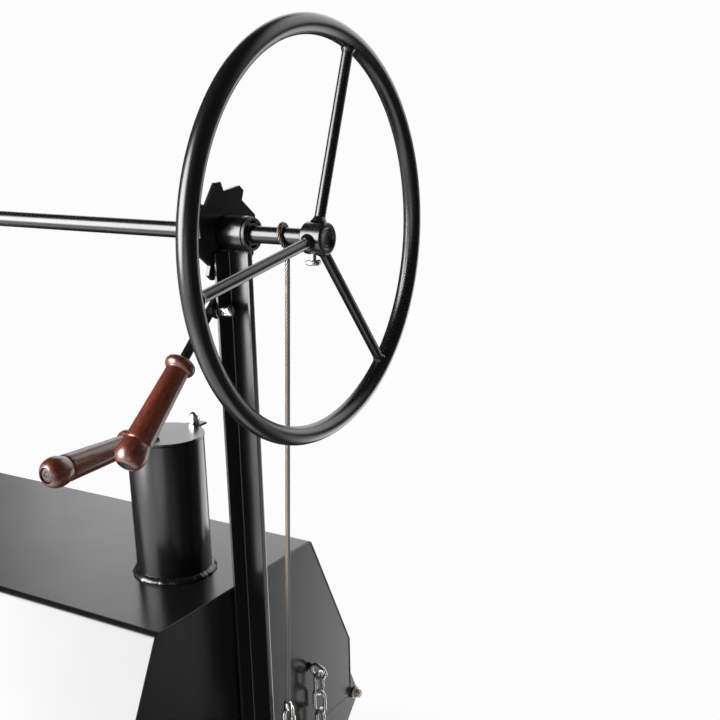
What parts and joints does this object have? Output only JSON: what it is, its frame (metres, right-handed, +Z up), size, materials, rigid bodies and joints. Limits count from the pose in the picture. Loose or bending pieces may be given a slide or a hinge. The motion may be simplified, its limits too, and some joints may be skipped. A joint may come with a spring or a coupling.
{
  "type": "charcoal grill",
  "caption": "Charcoal grill with a rear-hinged hood, a capped chimney and a handwheel winch with ratchet that raises the cooking grate on wire ropes.",
  "frame": {"origin": "centre of the object's outline, on the floor under the feet", "axes": "+X towards the handwheel along the crossbar, +Y to the back where the hood is hinged, +Z up"},
  "size_m": [1.064, 0.5836, 1.825],
  "materials": {
    "black_powder_coat": "semi-gloss fine-textured powder coat",
    "bright_zinc": "bright galvanised or zinc plated",
    "black_plastic": "moulded",
    "lacquered_wood": "gloss lacquered turned hardwood",
    "wire_rope": "stranded stainless wire",
    "bare_iron": "bare, seasoned"
  },
  "bodies": {
    "stand": {"firebox_shell": "black_powder_coat", "firebox_end_right": "black_powder_coat", "firebox_end_left": "black_powder_coat", "charcoal_grate": "bare_iron", "leg_frame_right": "black_powder_coat", "leg_frame_left": "black_powder_coat", "lower_shelf": "black_powder_coat", "post_right": "black_powder_coat", "post_left": "black_powder_coat", "sleeve_right": "black_powder_coat", "sleeve_left": "black_powder_coat", "bush_outer_right": "black_plastic", "bush_outer_left": "black_plastic", "bush_inner_right": "black_plastic", "bush_inner_left": "black_plastic", "pawl_bolt": "bright_zinc", "pawl_nut": "bright_zinc", "hinge_bolt_right": "bright_zinc", "hinge_bolt_left": "bright_zinc", "hinge_nut_right": "bright_zinc", "hinge_nut_left": "bright_zinc", "rope_right": "wire_rope", "rope_left": "wire_rope"},
    "hood": {"hood_shell": "black_powder_coat", "hood_end_right": "black_powder_coat", "hood_end_left": "black_powder_coat", "chimney": "black_powder_coat", "chimney_weld": "black_powder_coat", "cap_lug": "black_powder_coat", "cap_bolt": "bright_zinc", "hood_handle_bar": "black_powder_coat", "hood_handle_grip": "lacquered_wood", "chain_eye": "bright_zinc"},
    "cap": {"cap_disc": "black_powder_coat", "cap_nut": "bright_zinc", "cap_rod": "black_powder_coat", "cap_grip": "lacquered_wood", "cap_grip_nut": "bright_zinc"},
    "chain": {"chain_link_1": "bright_zinc", "chain_link_2": "bright_zinc", "chain_link_3": "bright_zinc", "chain_link_4": "bright_zinc"},
    "wheel": {"crossbar": "black_powder_coat", "ratchet_plate": "black_powder_coat", "wheel_hub": "black_powder_coat", "wheel_rim": "black_powder_coat", "wheel_spoke_1": "black_powder_coat", "wheel_spoke_2": "black_powder_coat", "wheel_spoke_3": "black_powder_coat", "rope_wrap_right": "wire_rope", "rope_wrap_left": "wire_rope"},
    "screw": {"thumb_screw": "bright_zinc"},
    "grate": {"cooking_grate": "bare_iron", "lift_arm_right": "black_powder_coat", "lift_arm_left": "black_powder_coat", "snap_ring_right": "bright_zinc", "snap_ring_left": "bright_zinc"},
    "pawl": {"pawl_lever": "black_powder_coat", "pawl_grip": "lacquered_wood", "pawl_grip_nut": "bright_zinc"}
  },
  "joints": [
    {"name": "wheel_spin", "type": "hinge", "parent": "stand", "child": "wheel", "pos_m": [0.517, 0.03025, 1.6], "axis": [1, 0, 0], "range_deg": [0, 630]},
    {"name": "grate_lift", "type": "slide", "parent": "stand", "child": "grate", "axis": [0, 0, 1], "range_m": [0, 0.1386], "deforming": ["rope_right", "rope_left"]},
    {"name": "pawl_pivot", "type": "hinge", "parent": "stand", "child": "pawl", "pos_m": [0.3935, 0.01025, 1.515], "axis": [1, 0, 0], "range_deg": [-25, 9]},
    {"name": "hood_hinge", "type": "hinge", "parent": "stand", "child": "hood", "pos_m": [-0.014, 0.28225, 0.883], "axis": [1, 0, 0], "range_deg": [-70, 0]},
    {"name": "cap_swivel", "type": "hinge", "parent": "hood", "child": "cap", "pos_m": [0.298, 0.06825, 1.353], "axis": [0, 0, 1], "range_deg": [-100, 0]},
    {"name": "chain_swing", "type": "hinge", "parent": "hood", "child": "chain", "pos_m": [0.41, 0.16525, 0.9733], "axis": [1, 0, 0], "range_deg": [-30, 30]},
    {"name": "thumb_screw_turn", "type": "hinge", "parent": "wheel", "child": "screw", "pos_m": [0.512, 0.03025, 1.575], "axis": [0, 0, 1], "range_deg": [0, 720]}
  ],
  "couplings": [
    {"joint": "grate_lift", "follows": "wheel_spin", "m_per_rad": 0.0126}
  ]
}
